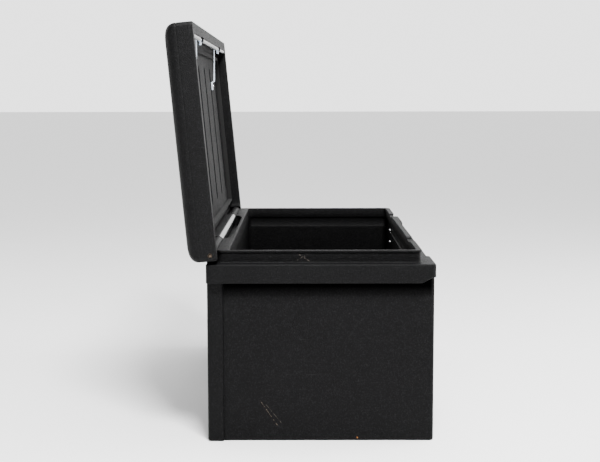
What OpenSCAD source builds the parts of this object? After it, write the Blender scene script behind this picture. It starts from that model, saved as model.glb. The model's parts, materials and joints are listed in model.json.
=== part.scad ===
// Truck tool box: a moulded polymer chest with a double-walled lid, which turns on one long steel rod.
// X runs along the length, the front faces -Y and +Z is up. The origin is the middle of the underside.
// The lid is drawn open, leaning back past upright on its stops.

/* [Chest] */
// Length of the lower body
body_len = 1056; // [1040:1:1060]
// Depth of the lower body, front wall to rear wall
body_depth = 510; // [506:1:512]
// Height of the shoulder that the lid closes down to
shoulder_z = 405; // [395:1:425]
// Thickness of one moulded wall
wall = 5; // [4:0.5:6]
// Height of the neck above the shoulder
neck_h = 28.5; // [28:0.5:29]
// Radius of the upright corners
corner_r = 8; // [6:1:12]

/* [Band and handles] */
// How far the end handles stand out from the end walls
handle_out = 22; // [20:1:24]
// Height of the end handles
handle_h = 43; // [38:1:48]
// Thickness of the handle's outer lip
lip_t = 7; // [5:1:8]
// Height of the front band
front_band_h = 30; // [26:1:32]
// Length of the raised pad at each front corner
pad_len = 172; // [150:1:180]
// Width of the rear corner post on each end wall
post_w = 36; // [30:1:40]

/* [Lid] */
// Length of the lid
lid_len = 1118; // [1116:1:1124]
// Depth of the lid from rear face to front face
lid_depth = 527; // [524:1:532]
// Overall thickness of the lid
lid_t = 65; // [60:1:68]
// Depth of the hollow under the lid
lid_hollow = 34; // [32:1:36]
// Lean of the open lid past upright
lid_lean = 5.4; // [0:0.1:6]
// Rounding of the lid's top edges
lid_round = 20; // [12:1:22]

/* [Hinge] */
// Diameter of the hinge rod
rod_d = 9.5; // [8:0.5:10]
// Radius of the lid's knuckle
knuckle_r = 13; // [12:0.5:13]

/* [Latches] */
// Distance of each latch from the middle
latch_x = 300; // [280:1:320]
// Turn of the hook from open to latched
hook_turn = 55; // [50:1:58]

/* [Hidden] */

$fn = 48;
eps = 0.5;                                  // how far a cutting tool runs past a face
run_gap = 0.05;                             // radial clearance of a running fit
part_gap = 0.3;                             // clearance between moving neighbours

// Chest, worked out from the sizes above
body_x = body_len / 2;
rear_y = 254.5;
front_y = rear_y - body_depth;
band_x = body_x + handle_out;
band_y = 255.5;
pad_y = -257;
neck_x = body_x - 7;
neck_front_y = -225;
neck_top = shoulder_z + neck_h;
band_out = 0.7;                             // how far the front band stands out from the front wall
bead_out = 3;
bead_h = 5;
finger_drop = 8;                            // the front shoulder drops here so that fingers reach the lid
post_out = 6;

// Inside of the chest
rim_in_x = 512.5;
rim_front_in_y = -215;
deck_in_y = 205;
ledge_z = 377;
upper_in_x = 517;
tub_in_x = 508;
tub_front_in_y = -217;
floor_top = 25;

// Hinge
hinge_y = 244.5;
hinge_z = 425.5;
rod_r = rod_d / 2;
rod_half = 554;
knuckle_half = 282;                         // half length of the lid's long middle knuckle
recess_front_y = 212;
stop_top = 410.6;                           // the stop pads end just under the open lid's rear face

// Lid, in its own frame: the rod is the origin, -Y runs to the front and +Z to the outer skin
lid_x = lid_len / 2;
lid_rear = 13.5;
lid_front = lid_depth - lid_rear;
rim_t = -14.5;
lid_top = rim_t + lid_t;
skin_t = rim_t + lid_hollow;
rim_end_w = 30;
rim_front_w = 26;
liner_t = 3;
groove_pitch = 184;
groove_len = 360;
groove_front = 432;                         // front end of the grooves, measured from the rod
groove_w = 30;
groove_h = 8;
notch_w = 70;
notch_d = 6;

// Latches
hook_y = -237;                              // front face of the hook plate
hook_t = 4;
hook_pin_z = 388;
bar_z = 418;
bar_r = 2.5;
bolt_x = 16;
bolt_zs = [351, 385];
paddle_pin_y = -244;
paddle_pin_z = 357;
pan_half = 45;
pan_low = 302;
pan_high = 364;
pan_back_y = -230;
lock_z = 326;

// A block between two corners
module block(low, high) { translate(low) cube(high - low); }

// An upright block with round vertical edges, between two corners
module round_block(low, high, r) {
    translate([0, 0, low.z]) linear_extrude(high.z - low.z) round_rect([low.x, low.y], [high.x, high.y], r);
}

// A flat outline with four round corners
module round_rect(low, high, r) {
    translate([low.x + r, low.y]) square([high.x - low.x - 2 * r, high.y - low.y]);
    translate([low.x, low.y + r]) square([high.x - low.x, high.y - low.y - 2 * r]);
    for (x = [low.x + r, high.x - r], y = [low.y + r, high.y - r]) translate([x, y]) circle(r);
}

// A cylinder along X, centred on x
module rod_x(x, y, z, r, len) { translate([x - len / 2, y, z]) rotate([0, 90, 0]) cylinder(h = len, r = r); }

// A cylinder along Y that starts at y and runs to the rear
module rod_y(x, y, z, r, len) { translate([x, y, z]) rotate([-90, 0, 0]) cylinder(h = len, r = r); }

// Puts a part at the left (-1) or right (+1) latch
module at_latch(side) { translate([side * latch_x, 0, 0]) children(); }

// Turns a part from the closed lid's frame to where the open lid stands
module open_lid() { translate([0, hinge_y, hinge_z]) rotate([-(90 + lid_lean), 0, 0]) children(); }

// The tub's outer form: body, corner posts, bands, neck, deck, box knuckles and stop pads
module tub_outside() {
    round_block([-body_x, front_y, 0], [body_x, rear_y, shoulder_z], corner_r);
    block([-body_x - post_out, rear_y - post_w, 0], [body_x + post_out, rear_y, shoulder_z]);
    round_block([-band_x, front_y - band_out, shoulder_z - front_band_h], [band_x, band_y, shoulder_z], 10);
    for (side = [-1, 1]) mirror([side < 0 ? 1 : 0, 0, 0]) {
        round_block([body_x - 20, -band_y, shoulder_z - handle_h], [band_x, band_y, shoulder_z], 10);
        round_block([band_x - pad_len, pad_y, shoulder_z - front_band_h], [band_x, -200, shoulder_z], 10);
        block([knuckle_half + 4, 225, shoulder_z - 1], [neck_x, rear_y, hinge_z]);
        block([knuckle_half + 4, 225, shoulder_z - 1], [neck_x, hinge_y, neck_top]);
        rod_x((knuckle_half + 4 + neck_x) / 2, hinge_y, hinge_z, knuckle_r - 0.5, neck_x - knuckle_half - 4);
        block([180, hinge_y + 3, shoulder_z - 1], [220, band_y, stop_top]);
    }
    round_block([-neck_x, neck_front_y, shoulder_z - 1], [neck_x, 232, neck_top], 12);
    round_block([-neck_x - bead_out, neck_front_y - bead_out, neck_top - bead_h], [neck_x + bead_out, 226, neck_top], 14);
}

// The closed hollow between the outer and inner walls, and under the floor
module tub_void() {
    difference() {
        round_block([-body_x + wall, front_y + wall, wall], [body_x - wall, rear_y - wall, ledge_z - wall], 6);
        round_block([-tub_in_x - wall, tub_front_in_y - wall, floor_top - wall],
            [tub_in_x + wall, deck_in_y + wall, ledge_z], 18);
        for (side = [-1, 1]) at_latch(side) block([-66, front_y, 270], [66, tub_front_in_y, ledge_z]);
    }
}

// The pocket in the front wall that holds one latch, and the notch in the neck above it
module latch_well() {
    block([-pan_half - 1, pad_y - eps, pan_low - 2], [pan_half + 1, pan_back_y + 1, pan_high + 1]);
    block([-30, -247, pan_high], [48, -222, 393]);
    block([-30, pan_back_y, 343], [48, -222, pan_high + eps]);
    block([-16, -243.5, 392], [48, -229, shoulder_z]);
    for (z = bolt_zs) rod_y(bolt_x, -223, z, 3.2, 7);
    for (x = [-51, 51], z = [297, 367]) rod_y(x, pad_y, z, 2, 16);
    block([-notch_w / 2, neck_front_y - 6, neck_top - notch_d], [notch_w / 2, rim_front_in_y + 1, neck_top + eps]);
}

// Moulded double-walled tub
module tub() {
    color("#1c1c1d") difference() {
        tub_outside();
        round_block([-tub_in_x, tub_front_in_y, floor_top], [tub_in_x, deck_in_y, ledge_z + eps], 14);
        round_block([-upper_in_x, -220, ledge_z], [upper_in_x, deck_in_y, shoulder_z], 14);
        round_block([-rim_in_x, rim_front_in_y, shoulder_z - eps], [rim_in_x, deck_in_y, neck_top + eps], 10);
        tub_void();
        // the front shoulder drops between the pads, as finger room under the lid
        block([-band_x + pad_len, pad_y - eps, shoulder_z - finger_drop],
            [band_x - pad_len, neck_front_y - bead_out - 0.2, shoulder_z + eps]);
        // the lid's middle knuckle turns in a recess in the deck
        block([-knuckle_half - 1, recess_front_y, shoulder_z], [knuckle_half + 1, 233, neck_top + eps]);
        // the handle lips are open underneath
        for (side = [-1, 1]) mirror([side < 0 ? 1 : 0, 0, 0])
            block([body_x, -226, shoulder_z - handle_h - eps], [band_x - lip_t, 210, shoulder_z - 11]);
        rod_x(0, hinge_y, hinge_z, rod_r + run_gap, 2 * neck_x + 2);
        for (side = [-1, 1]) at_latch(side) latch_well();
    }
}

// A flat outline with a square foot and two round top corners
module top_round(low, high, r) {
    translate(low) square([high.x - low.x, high.y - low.y - r]);
    translate([low.x + r, low.y]) square([high.x - low.x - 2 * r, high.y - low.y]);
    for (x = [low.x + r, high.x - r]) translate([x, high.y - r]) circle(r);
}

// The lid's outer form: a flat tray with round top edges and corners
module lid_outside() {
    intersection() {
        translate([-lid_x, 0, 0]) rotate([90, 0, 90]) linear_extrude(lid_len)
            top_round([-lid_front, rim_t], [lid_rear, lid_top], lid_round);
        translate([0, lid_rear, 0]) rotate([90, 0, 0]) linear_extrude(lid_depth)
            top_round([-lid_x, rim_t], [lid_x, lid_top], lid_round);
        round_block([-lid_x, -lid_front, rim_t], [lid_x, lid_rear, lid_top], 10);
    }
}

// Outer skin of the lid with its rims and knuckles
module lid_shell() {
    end_in = lid_x - rim_end_w;
    front_in = lid_front - rim_front_w;
    color("#1c1c1d") open_lid() difference() {
        lid_outside();
        round_block([-end_in, -front_in, rim_t - eps], [end_in, -knuckle_r, skin_t + liner_t], 12);
        block([-end_in - 11, -front_in - 11, skin_t + liner_t], [end_in + 11, 2, lid_top - wall]);
        // round the long middle knuckle
        difference() {
            block([-knuckle_half, -knuckle_r - 3, rim_t - eps], [knuckle_half, lid_rear + eps, 0]);
            rod_x(0, 0, 0, knuckle_r, 2 * knuckle_half);
        }
        for (side = [-1, 1]) mirror([side < 0 ? 1 : 0, 0, 0]) {
            block([knuckle_half, -25, rim_t - eps], [neck_x + 6, lid_rear + eps, 17]);
            rod_x(lid_x - 5, 0, 0, 5.9, 14);
        }
        rod_x(0, 0, 0, rod_r + run_gap, lid_len + 2);
        for (side = [-1, 1]) at_latch(side)
            block([-notch_w / 2, -front_in - notch_d, rim_t - eps], [notch_w / 2, -front_in + 1, 6]);
    }
}

// A long outline with round ends, along Y
module slot_shape(x, from, to, w) {
    translate([x - w / 2, from + w / 2]) square([w, to - from - w]);
    for (y = [from + w / 2, to - w / 2]) translate([x, y]) circle(w / 2);
}

// Inner skin of the lid, stiffened by six hollow grooves
module lid_liner() {
    end_in = lid_x - rim_end_w - part_gap;
    front_in = lid_front - rim_front_w - part_gap;
    color("#242425") open_lid() difference() {
        union() {
            round_block([-end_in, -front_in, skin_t], [end_in, -knuckle_r - part_gap, skin_t + liner_t], 12);
            for (i = [-2.5:1:2.5]) translate([0, 0, skin_t]) linear_extrude(groove_h + liner_t)
                slot_shape(i * groove_pitch, -groove_front - 3, -groove_front + groove_len + 3, groove_w + 6);
        }
        for (i = [-2.5:1:2.5]) translate([0, 0, skin_t - eps]) linear_extrude(groove_h + eps)
            slot_shape(i * groove_pitch, -groove_front, -groove_front + groove_len, groove_w);
        for (side = [-1, 1], x = [2, 16]) at_latch(side) translate([x, -382, skin_t - eps]) cylinder(h = 5, r = 2.5);
    }
}

// Foam seal under the lid that presses on the neck
module lid_seal() {
    seal_t = neck_top - hinge_z + 1;
    color("#151516") open_lid() difference() {
        block([-520.5, -468.5, seal_t], [520.5, -33, skin_t]);
        block([-513.5, -460.5, seal_t - eps], [513.5, -39, skin_t + eps]);
    }
}

// Full-length steel hinge rod
module hinge_rod() { color("silver") rod_x(0, hinge_y, hinge_z, rod_r, 2 * rod_half); }

// Push-on caps at the two ends of the hinge rod
module rod_caps() {
    color("#8a8178") for (side = [-1, 1]) rod_x(side * (rod_half + 1.5), hinge_y, hinge_z, 5.5, 3);
}

// A plate that faces the front, with round corners, from y to the rear
module plate_y(low, high, r, y, t) {
    translate([0, y + t, 0]) rotate([90, 0, 0]) linear_extrude(t) round_rect(low, high, r);
}

// Pressed steel dish that the paddle lies in
module latch_dish() {
    color("#2b2b2c") difference() {
        union() {
            plate_y([-56, 292], [56, 372], 5, front_y - 2, 2);
            plate_y([-pan_half, pan_low], [pan_half, pan_high], 6, front_y - 1, pan_back_y - front_y + 1);
        }
        plate_y([-pan_half + 1.5, pan_low + 1.5], [pan_half - 1.5, pan_high - 1.5], 5, front_y - 3,
            pan_back_y - front_y + 1.5);
        block([-9, -248, pan_high - 3], [9, -231, pan_high + 1]);
        rod_x(0, paddle_pin_y, paddle_pin_z, 2.05, 2 * pan_half + 2);
        for (x = [-51, 51], z = [297, 367]) rod_y(x, front_y - 3, z, 2, 8);
    }
}

// Four button-head screws that hold the dish
module dish_screws() {
    color("silver") for (x = [-51, 51], z = [297, 367]) {
        rod_y(x, front_y - 3.5, z, 3.4, 1.5);
        rod_y(x, front_y - 2.5, z, 1.95, 12);
    }
}

// Paddle handle with its hub and the lever that works the pawl
module paddle() {
    color("#303031") difference() {
        union() {
            plate_y([-41, 305], [41, 357], 4, -249.5, 3);
            rod_x(0, paddle_pin_y, paddle_pin_z, 4.2, 80);
            block([-6, -246, paddle_pin_z], [6, -242, 374]);
        }
        block([13.5, -251, paddle_pin_z - 5], [26.5, -239, paddle_pin_z + 5]);
        rod_x(0, paddle_pin_y, paddle_pin_z, 2.05, 90);
        rod_y(0, -251, lock_z, 8.05, 6);
    }
}

// Pin that the paddle turns on
module paddle_pin() { color("silver") rod_x(0, paddle_pin_y, paddle_pin_z, 2, 2 * pan_half - 0.4); }

// Coils of the spring that pushes the paddle back in
module paddle_spring() {
    color("#9a9a9a") for (i = [0:7]) translate([15.3 + 1.35 * i, paddle_pin_y, paddle_pin_z]) rotate([0, 90, 0])
        rotate_extrude($fn = 32) translate([3.2, 0]) circle(0.7, $fn = 16);
}

// Folded steel frame that carries the hook and the pawl
module latch_frame() {
    color("#b9bcc0") difference() {
        union() {
            plate_y([-28, 344], [46, 392], 3, -225, 3);
            plate_y([-28, 377], [46, 392], 3, -244.5, 2.5);
            block([20, -244.5, 376], [46, -222, 378.5]);
        }
        rod_y(0, -246, hook_pin_z, 3.05, 26);
        rod_y(-18, -240, 371.5, 2.55, 20);
        for (z = bolt_zs) rod_y(bolt_x, -227, z, 3.05, 6);
    }
}

// A ring sector, with angles counted from straight up towards +X
module sector(r_in, r_out, from, to) {
    step = (to - from) / 12;
    polygon([for (i = [0:12]) r_out * [sin(from + i * step), cos(from + i * step)],
        for (i = [12:-1:0]) r_in * [sin(from + i * step), cos(from + i * step)]]);
}

// Hook that swings over the striker bar; its inner edge is round about its own pin
module hook() {
    reach = bar_z - hook_pin_z + bar_r + 0.7;
    color("#a9adb2") translate([0, hook_y + hook_t, hook_pin_z]) rotate([0, hook_turn, 0]) rotate([90, 0, 0])
        linear_extrude(hook_t) difference() {
            union() {
                circle(7);
                sector(reach, reach + 4.8, -22, 45);
                sector(3.2, reach + 1, 33, 45);
            }
            circle(3.05);
        }
}

// Pin that the hook turns on
module hook_pin() { color("silver") rod_y(0, -244.8, hook_pin_z, 3, 22.6); }

// Pawl that the paddle's lever tips away from the hook
module pawl() {
    color("#a9adb2") difference() {
        union() {
            translate([0, hook_y + hook_t, 0]) rotate([90, 0, 0]) linear_extrude(hook_t) {
                translate([-18, 371.5]) circle(5);
                polygon([[-22, 371.5], [-14, 371.5], [-7, 379], [-11, 382]]);
            }
            block([-17, hook_y, 369], [-12, -229, 373]);
            block([-13, -231.5, 369], [6, -229, 373]);
        }
        rod_y(-18, -240, 371.5, 2.55, 16);
    }
}

// Pin that the pawl turns on
module pawl_pin() { color("silver") rod_y(-18, -238.5, 371.5, 2.5, 16.3); }

// Two dome-head bolts, with washers, that hold the latch from inside the chest
module latch_bolts() {
    color("silver") for (z = bolt_zs) {
        rod_y(bolt_x, tub_front_in_y, z, 7, 1.2);
        rod_y(bolt_x, tub_front_in_y + 1, z, 5.5, 4);
        rod_y(bolt_x, -226.5, z, 3, 10.5);
    }
}

// Body of the key lock, fixed in the paddle
module lock_barrel() {
    color("silver") difference() {
        union() {
            rod_y(0, -251, lock_z, 9.5, 1.5);
            rod_y(0, -250, lock_z, 8, 11.5);
        }
        rod_y(0, -252, lock_z, 6.05, 15);
    }
}

// Turning plug of the key lock, with a plain keyway
module lock_plug() {
    color("#c9a75a") difference() {
        rod_y(0, -251.3, lock_z, 6, 13.3);
        block([-0.6, -252, lock_z - 3.5], [0.6, -246, lock_z + 3.5]);
    }
}

// Cam on the back of the lock plug
module lock_cam() {
    color("silver") translate([0, -236, lock_z]) rotate([90, 0, 0]) linear_extrude(2) {
        circle(6.5);
        translate([0, -4]) square([17, 8]);
    }
}

// Zinc-plated strap under the lid; its bar drops in front of the neck
module striker() {
    profile = [[372, 19.5], [393.5, 19.5], [397, 11.9], [486.4, 3], [486.4, -11], [484, -11],
        [484, 0.7], [395, 9.3], [391.5, 17], [372, 17]];
    color("#cfd8e2") open_lid() difference() {
        union() {
            translate([-9, 0, 0]) rotate([90, 0, 90]) linear_extrude(18) polygon([for (p = profile) [-p.x, p.y]]);
            block([-9, -392, 17], [24, -372, skin_t]);
            translate([0, -486, bar_z - hinge_z]) rotate([-90, 0, 0]) cylinder(h = 13.5, r = bar_r);
        }
        for (x = [2, 16]) translate([x, -382, 16]) cylinder(h = 5, r = 2.6);
    }
}

// Two screws that hold the striker to the lid
module striker_screws() {
    color("silver") open_lid() for (x = [2, 16]) translate([x, -382, 0]) {
        translate([0, 0, 14.5]) cylinder(h = 2.5, r = 4.2);
        translate([0, 0, 16]) cylinder(h = 8, r = 2.45);
    }
}

tub();
lid_shell();
lid_liner();
lid_seal();
hinge_rod();
rod_caps();
at_latch(-1) latch_dish();  // left_latch_dish
at_latch(-1) dish_screws();  // left_dish_screws
at_latch(-1) paddle();  // left_paddle
at_latch(-1) paddle_pin();  // left_paddle_pin
at_latch(-1) paddle_spring();  // left_paddle_spring
at_latch(-1) latch_frame();  // left_latch_frame
at_latch(-1) hook();  // left_hook
at_latch(-1) hook_pin();  // left_hook_pin
at_latch(-1) pawl();  // left_pawl
at_latch(-1) pawl_pin();  // left_pawl_pin
at_latch(-1) latch_bolts();  // left_latch_bolts
at_latch(-1) lock_barrel();  // left_lock_barrel
at_latch(-1) lock_plug();  // left_lock_plug
at_latch(-1) lock_cam();  // left_lock_cam
at_latch(-1) striker();  // left_striker
at_latch(-1) striker_screws();  // left_striker_screws
at_latch(1) latch_dish();  // right_latch_dish
at_latch(1) dish_screws();  // right_dish_screws
at_latch(1) paddle();  // right_paddle
at_latch(1) paddle_pin();  // right_paddle_pin
at_latch(1) paddle_spring();  // right_paddle_spring
at_latch(1) latch_frame();  // right_latch_frame
at_latch(1) hook();  // right_hook
at_latch(1) hook_pin();  // right_hook_pin
at_latch(1) pawl();  // right_pawl
at_latch(1) pawl_pin();  // right_pawl_pin
at_latch(1) latch_bolts();  // right_latch_bolts
at_latch(1) lock_barrel();  // right_lock_barrel
at_latch(1) lock_plug();  // right_lock_plug
at_latch(1) lock_cam();  // right_lock_cam
at_latch(1) striker();  // right_striker
at_latch(1) striker_screws();  // right_striker_screws
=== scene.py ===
"""Looks of the truck tool box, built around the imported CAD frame.

The three big mouldings (chest, lid and inner lid skin) are numpy grids. Small steel parts are dressed copies of
their CAD nodes with broken edges, or numpy pieces where the pressed or wound shape matters. A few pieces, such as
the beads of the lid's rim, have no CAD node of their own. All sizes are in millimetres until a mesh is made.
"""
import json
import math

import bmesh
import bpy
import numpy as np
from mathutils import Euler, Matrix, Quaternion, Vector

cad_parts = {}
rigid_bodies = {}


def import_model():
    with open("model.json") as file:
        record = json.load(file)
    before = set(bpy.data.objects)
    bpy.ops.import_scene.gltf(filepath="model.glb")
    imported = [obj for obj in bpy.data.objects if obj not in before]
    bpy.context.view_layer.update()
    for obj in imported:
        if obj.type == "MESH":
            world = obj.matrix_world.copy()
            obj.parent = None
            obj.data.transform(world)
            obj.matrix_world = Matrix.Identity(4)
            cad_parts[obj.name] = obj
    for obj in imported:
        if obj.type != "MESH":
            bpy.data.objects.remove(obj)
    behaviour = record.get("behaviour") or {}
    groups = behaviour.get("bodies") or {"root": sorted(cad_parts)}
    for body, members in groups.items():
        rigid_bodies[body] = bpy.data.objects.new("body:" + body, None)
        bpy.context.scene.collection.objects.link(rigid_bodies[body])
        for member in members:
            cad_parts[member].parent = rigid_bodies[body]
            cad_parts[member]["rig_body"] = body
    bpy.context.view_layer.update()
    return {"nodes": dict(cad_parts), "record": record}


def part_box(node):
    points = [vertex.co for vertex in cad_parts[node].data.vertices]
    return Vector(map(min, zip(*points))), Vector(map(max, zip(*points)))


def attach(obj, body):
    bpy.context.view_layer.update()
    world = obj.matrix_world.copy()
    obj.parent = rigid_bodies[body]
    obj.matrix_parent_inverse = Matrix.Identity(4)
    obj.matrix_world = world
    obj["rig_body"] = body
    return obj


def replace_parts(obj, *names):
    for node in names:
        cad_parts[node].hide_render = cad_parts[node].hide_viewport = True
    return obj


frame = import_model()
MM = 0.001
SIDE = {-1: "left", 1: "right"}         # the side names by the sign of X


def node_box(node):
    """Lowest and highest corner of a CAD node, in millimetres."""
    low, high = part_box(node)
    return np.array(low) / MM, np.array(high) / MM


# ---------------------------------------------------------------- sizes

TUB_LOW, TUB_HIGH = node_box("tub")
FRONT_PAD = TUB_LOW[1]                  # front face of the corner pads
FRONT = FRONT_PAD + 1.5                 # front wall
REAR = 254.5                            # rear wall
BAND_REAR = 255.5
BODY_X = 528.0
BAND_X = TUB_HIGH[0]
SHOULDER = 405.0
FINGER_DROP = 8.0
PAD_START = BAND_X - 172                # the corner pads run from here to the ends
BAND_LOW = SHOULDER - 30                # lower edge of the band at the front and rear
HANDLE_LOW = SHOULDER - 43              # lower edge of the end handles
LIP = 7.0
POST_Y, POST_OUT = 218.5, 6.0
NECK_X, NECK_FRONT, NECK_TOP = 521.0, -225.0, 433.5
NECK_REAR = 232.0
DECK_REAR = 212.0                       # rear face of the neck behind the deck, where the knuckle turns
RIM_X, RIM_FRONT, RIM_REAR = 512.5, -215.0, 205.0
LEDGE = 377.0
FLOOR = 25.0
LATCH_X = 300.0
NOTCH_HALF, NOTCH_DEEP = 35.0, 6.0
WELL_HALF, WELL_LOW, WELL_HIGH, WELL_BACK = 46, 299.9, 364.8, -228.8       # latch wells in the front wall
SLOT_LEFT, SLOT_RIGHT, SLOT_FRONT, SLOT_BACK = -16, 48, -243.5, -229.4     # slots over the wells, for the hooks
DECK_HALF, DECK_TURN = 283, 70          # half length of the hinge deck, and the length of its rounded ends
HINGE = np.array([0.0, 244.5, 425.5])
KNUCKLE_R, KNUCKLE_HALF = 13.0, 282.0
ROD_R, ROD_HALF = 4.75, 554
BORE_R, BORE_DEEP = 5.9, 4.6            # counterbores in the lid's ends, round the ends of the rod

LID_LEAN = 5.4
LID_X = 559.0
LID_REAR, LID_FRONT = 13.5, 513.5
LID_RIM, LID_TOP, LID_SKIN = -14.5, 50.5, 19.5
LID_ROUND = 26.0
LID_END_IN, LID_FRONT_IN = 529.0, 487.5
CUT_END, CUT_TOP = 527.0, 17.0          # the rear edge is cut away over the chest's box knuckles
GROOVES = [-460, -276, -92, 92, 276, 460]
GROOVE_HALF, GROOVE_NEAR, GROOVE_FAR, GROOVE_DEEP = 15, 72, 432, 7.8

PADDLE_HALF, PADDLE_LOW, PIN_HEIGHT, PIN_DEPTH = 41, 305, 357, -244

SHARP_ANGLE = 35                        # edges turned further than this stay crisp, in degrees
CRISP_STEEL = 30                        # the same for the dressed steel parts
WELD = 0.02
CORNER_POINTS = 7                       # points inside each rounded corner of a ring


# ---------------------------------------------------------------- mesh helpers

def smooth(x):
    """0 below 0, 1 above 1, and the cubic 3x^2 - 2x^3 between."""
    x = np.clip(x, 0, 1)
    return x * x * (3 - 2 * x)


def between(x, low, high, blend=0.5):
    """1 inside low..high and 0 outside, with a smooth step of width blend centred on each end."""
    return smooth((x - low) / blend + 0.5) * smooth((high - x) / blend + 0.5)


def finish_mesh(name, points, faces, material, body):
    """Makes an object from points in millimetres. Coinciding points are welded, and only sharp edges stay crisp."""
    mesh = bpy.data.meshes.new(name)
    mesh.from_pydata((np.asarray(points, float).reshape(-1, 3) * MM).tolist(), [], faces)
    obj = bpy.data.objects.new(name, mesh)
    bpy.context.collection.objects.link(obj)
    bm = bmesh.new()
    bm.from_mesh(mesh)
    bmesh.ops.remove_doubles(bm, verts=bm.verts, dist=WELD * MM)
    bmesh.ops.dissolve_degenerate(bm, edges=bm.edges, dist=WELD * MM * 0.5)
    bm.to_mesh(mesh)
    bm.free()
    mesh.shade_smooth()
    mesh.set_sharp_from_angle(angle=math.radians(SHARP_ANGLE))
    mesh.materials.append(material)
    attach(obj, body)
    return obj


def grid_faces(rows, cols, wrap_rows=False, wrap_cols=False):
    """Quads of a rows x cols grid of points, counted row by row; a wrap joins the last line to the first."""
    i, j = np.meshgrid(np.arange(rows if wrap_rows else rows - 1), np.arange(cols if wrap_cols else cols - 1),
                       indexing="ij")
    k, n = (i + 1) % rows, (j + 1) % cols
    return np.stack([i * cols + j, i * cols + n, k * cols + n, k * cols + j], -1).reshape(-1, 4).tolist()


def skin(name, grid, material, body, caps=True, flip=False):
    """A closed surface from a grid of rings. Each ring closes on itself. With caps, a fan to its middle closes the
    first and the last ring, and without them the last ring joins the first."""
    grid = np.asarray(grid, float)
    rows, cols = grid.shape[:2]
    faces = grid_faces(rows, cols, wrap_rows=not caps, wrap_cols=True)
    points = grid.reshape(-1, 3)
    if caps:
        first, last = rows * cols, rows * cols + 1
        points = np.vstack([points, grid[0].mean(0), grid[-1].mean(0)])
        ring = np.arange(cols)
        after = (ring + 1) % cols
        faces += np.stack([np.full(cols, first), after, ring], -1).tolist()
        faces += np.stack([np.full(cols, last), ring + (rows - 1) * cols, after + (rows - 1) * cols], -1).tolist()
    if flip:
        faces = [f[::-1] for f in faces]
    return finish_mesh(name, points, faces, material, body)


def sheet_slab(name, top, under, material, body, flip=False):
    """A thin closed slab between two grids of one size: the top, the underside and a strip round the border."""
    rows, cols = top.shape[:2]
    count = rows * cols
    upper = grid_faces(rows, cols)
    lower = [[v + count for v in f[::-1]] for f in upper]
    index = np.arange(count).reshape(rows, cols)
    border = np.concatenate([index[0, :-1], index[:-1, -1], index[-1, :0:-1], index[:0:-1, 0]])
    after = np.roll(border, -1)
    strip = np.stack([border, border + count, after + count, after], -1).tolist()
    faces = upper + lower + strip
    if flip:
        faces = [f[::-1] for f in faces]
    return finish_mesh(name, np.vstack([top.reshape(-1, 3), under.reshape(-1, 3)]), faces, material, body)


def stations(low, high, step, marks=(), gap=0.4):
    """Places from low to high about step apart, with a close pair at each mark where the surface steps."""
    base = np.linspace(low, high, max(2, int(round((high - low) / step)) + 1))
    pairs = np.array([[m - gap / 2, m + gap / 2] for m in marks if low < m < high]).reshape(-1)
    if len(pairs):
        base = base[np.min(np.abs(base[:, None] - pairs[None]), 1) > step * 0.2]
    return np.sort(np.concatenate([base, pairs]))


def rounded_ring(half_x, low_y, high_y, r, front, rear, side):
    """One rounded rectangle seen from above, anticlockwise from the front left. The straight sides carry points at
    the given places, held inside the straight stretch, and each corner is a quarter circle."""
    turn = np.linspace(0, math.pi / 2, CORNER_POINTS + 2)[1:-1]
    fx = np.clip(front, -half_x + r, half_x - r)
    rx = np.clip(rear, -half_x + r, half_x - r)
    sy = np.clip(side, low_y + r, high_y - r)
    corner = [(half_x - r, low_y + r, -math.pi / 2), (half_x - r, high_y - r, 0),
              (-half_x + r, high_y - r, math.pi / 2), (-half_x + r, low_y + r, math.pi)]
    arcs = [np.stack([cx + r * np.cos(a + turn), cy + r * np.sin(a + turn)], -1) for cx, cy, a in corner]
    flat = lambda x, y: np.stack(np.broadcast_arrays(x, y), -1)
    return np.concatenate([flat(fx, low_y), arcs[0], flat(half_x, sy), arcs[1],
                           flat(rx[::-1], high_y), arcs[2], flat(-half_x, sy[::-1]), arcs[3]])


def ring_stack(profile, front, rear, side):
    """A grid of points: one rounded rectangle for each (half length, front, rear, corner radius, height)."""
    rings = []
    for half_x, low_y, high_y, r, z in profile:
        ring = rounded_ring(half_x, low_y, high_y, r, front, rear, side)
        rings.append(np.column_stack([ring, np.full(len(ring), z)]))
    return np.array(rings)


def quarter(start, end, steps, bulge_first):
    """Points of a quarter ellipse between two (offset, height) pairs; bulge_first moves the offset first."""
    a = np.linspace(0, math.pi / 2, steps + 1)
    u, v = (np.sin(a), 1 - np.cos(a)) if bulge_first else (1 - np.cos(a), np.sin(a))
    return np.column_stack([start[0] + (end[0] - start[0]) * u, start[1] + (end[1] - start[1]) * v])


def lathe(name, profile, base, axis, material, body, sides=40, caps=True):
    """A turned part: a profile of (distance along the axis, radius) spun about the line through base. With caps
    the two ends close on the axis, and without them the profile closes on itself."""
    profile = np.asarray(profile, float)
    axis = np.asarray(axis, float) / np.linalg.norm(axis)
    side = np.cross(axis, [0, 0, 1] if abs(axis[2]) < 0.9 else [1, 0, 0])
    side /= np.linalg.norm(side)
    other = np.cross(axis, side)
    turn = np.linspace(0, 2 * math.pi, sides, endpoint=False)
    around = np.cos(turn)[:, None] * side + np.sin(turn)[:, None] * other
    grid = np.asarray(base, float) + profile[:, None, :1] * axis + profile[:, None, 1:] * around[None]
    return skin(name, grid, material, body, caps=caps)


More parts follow.
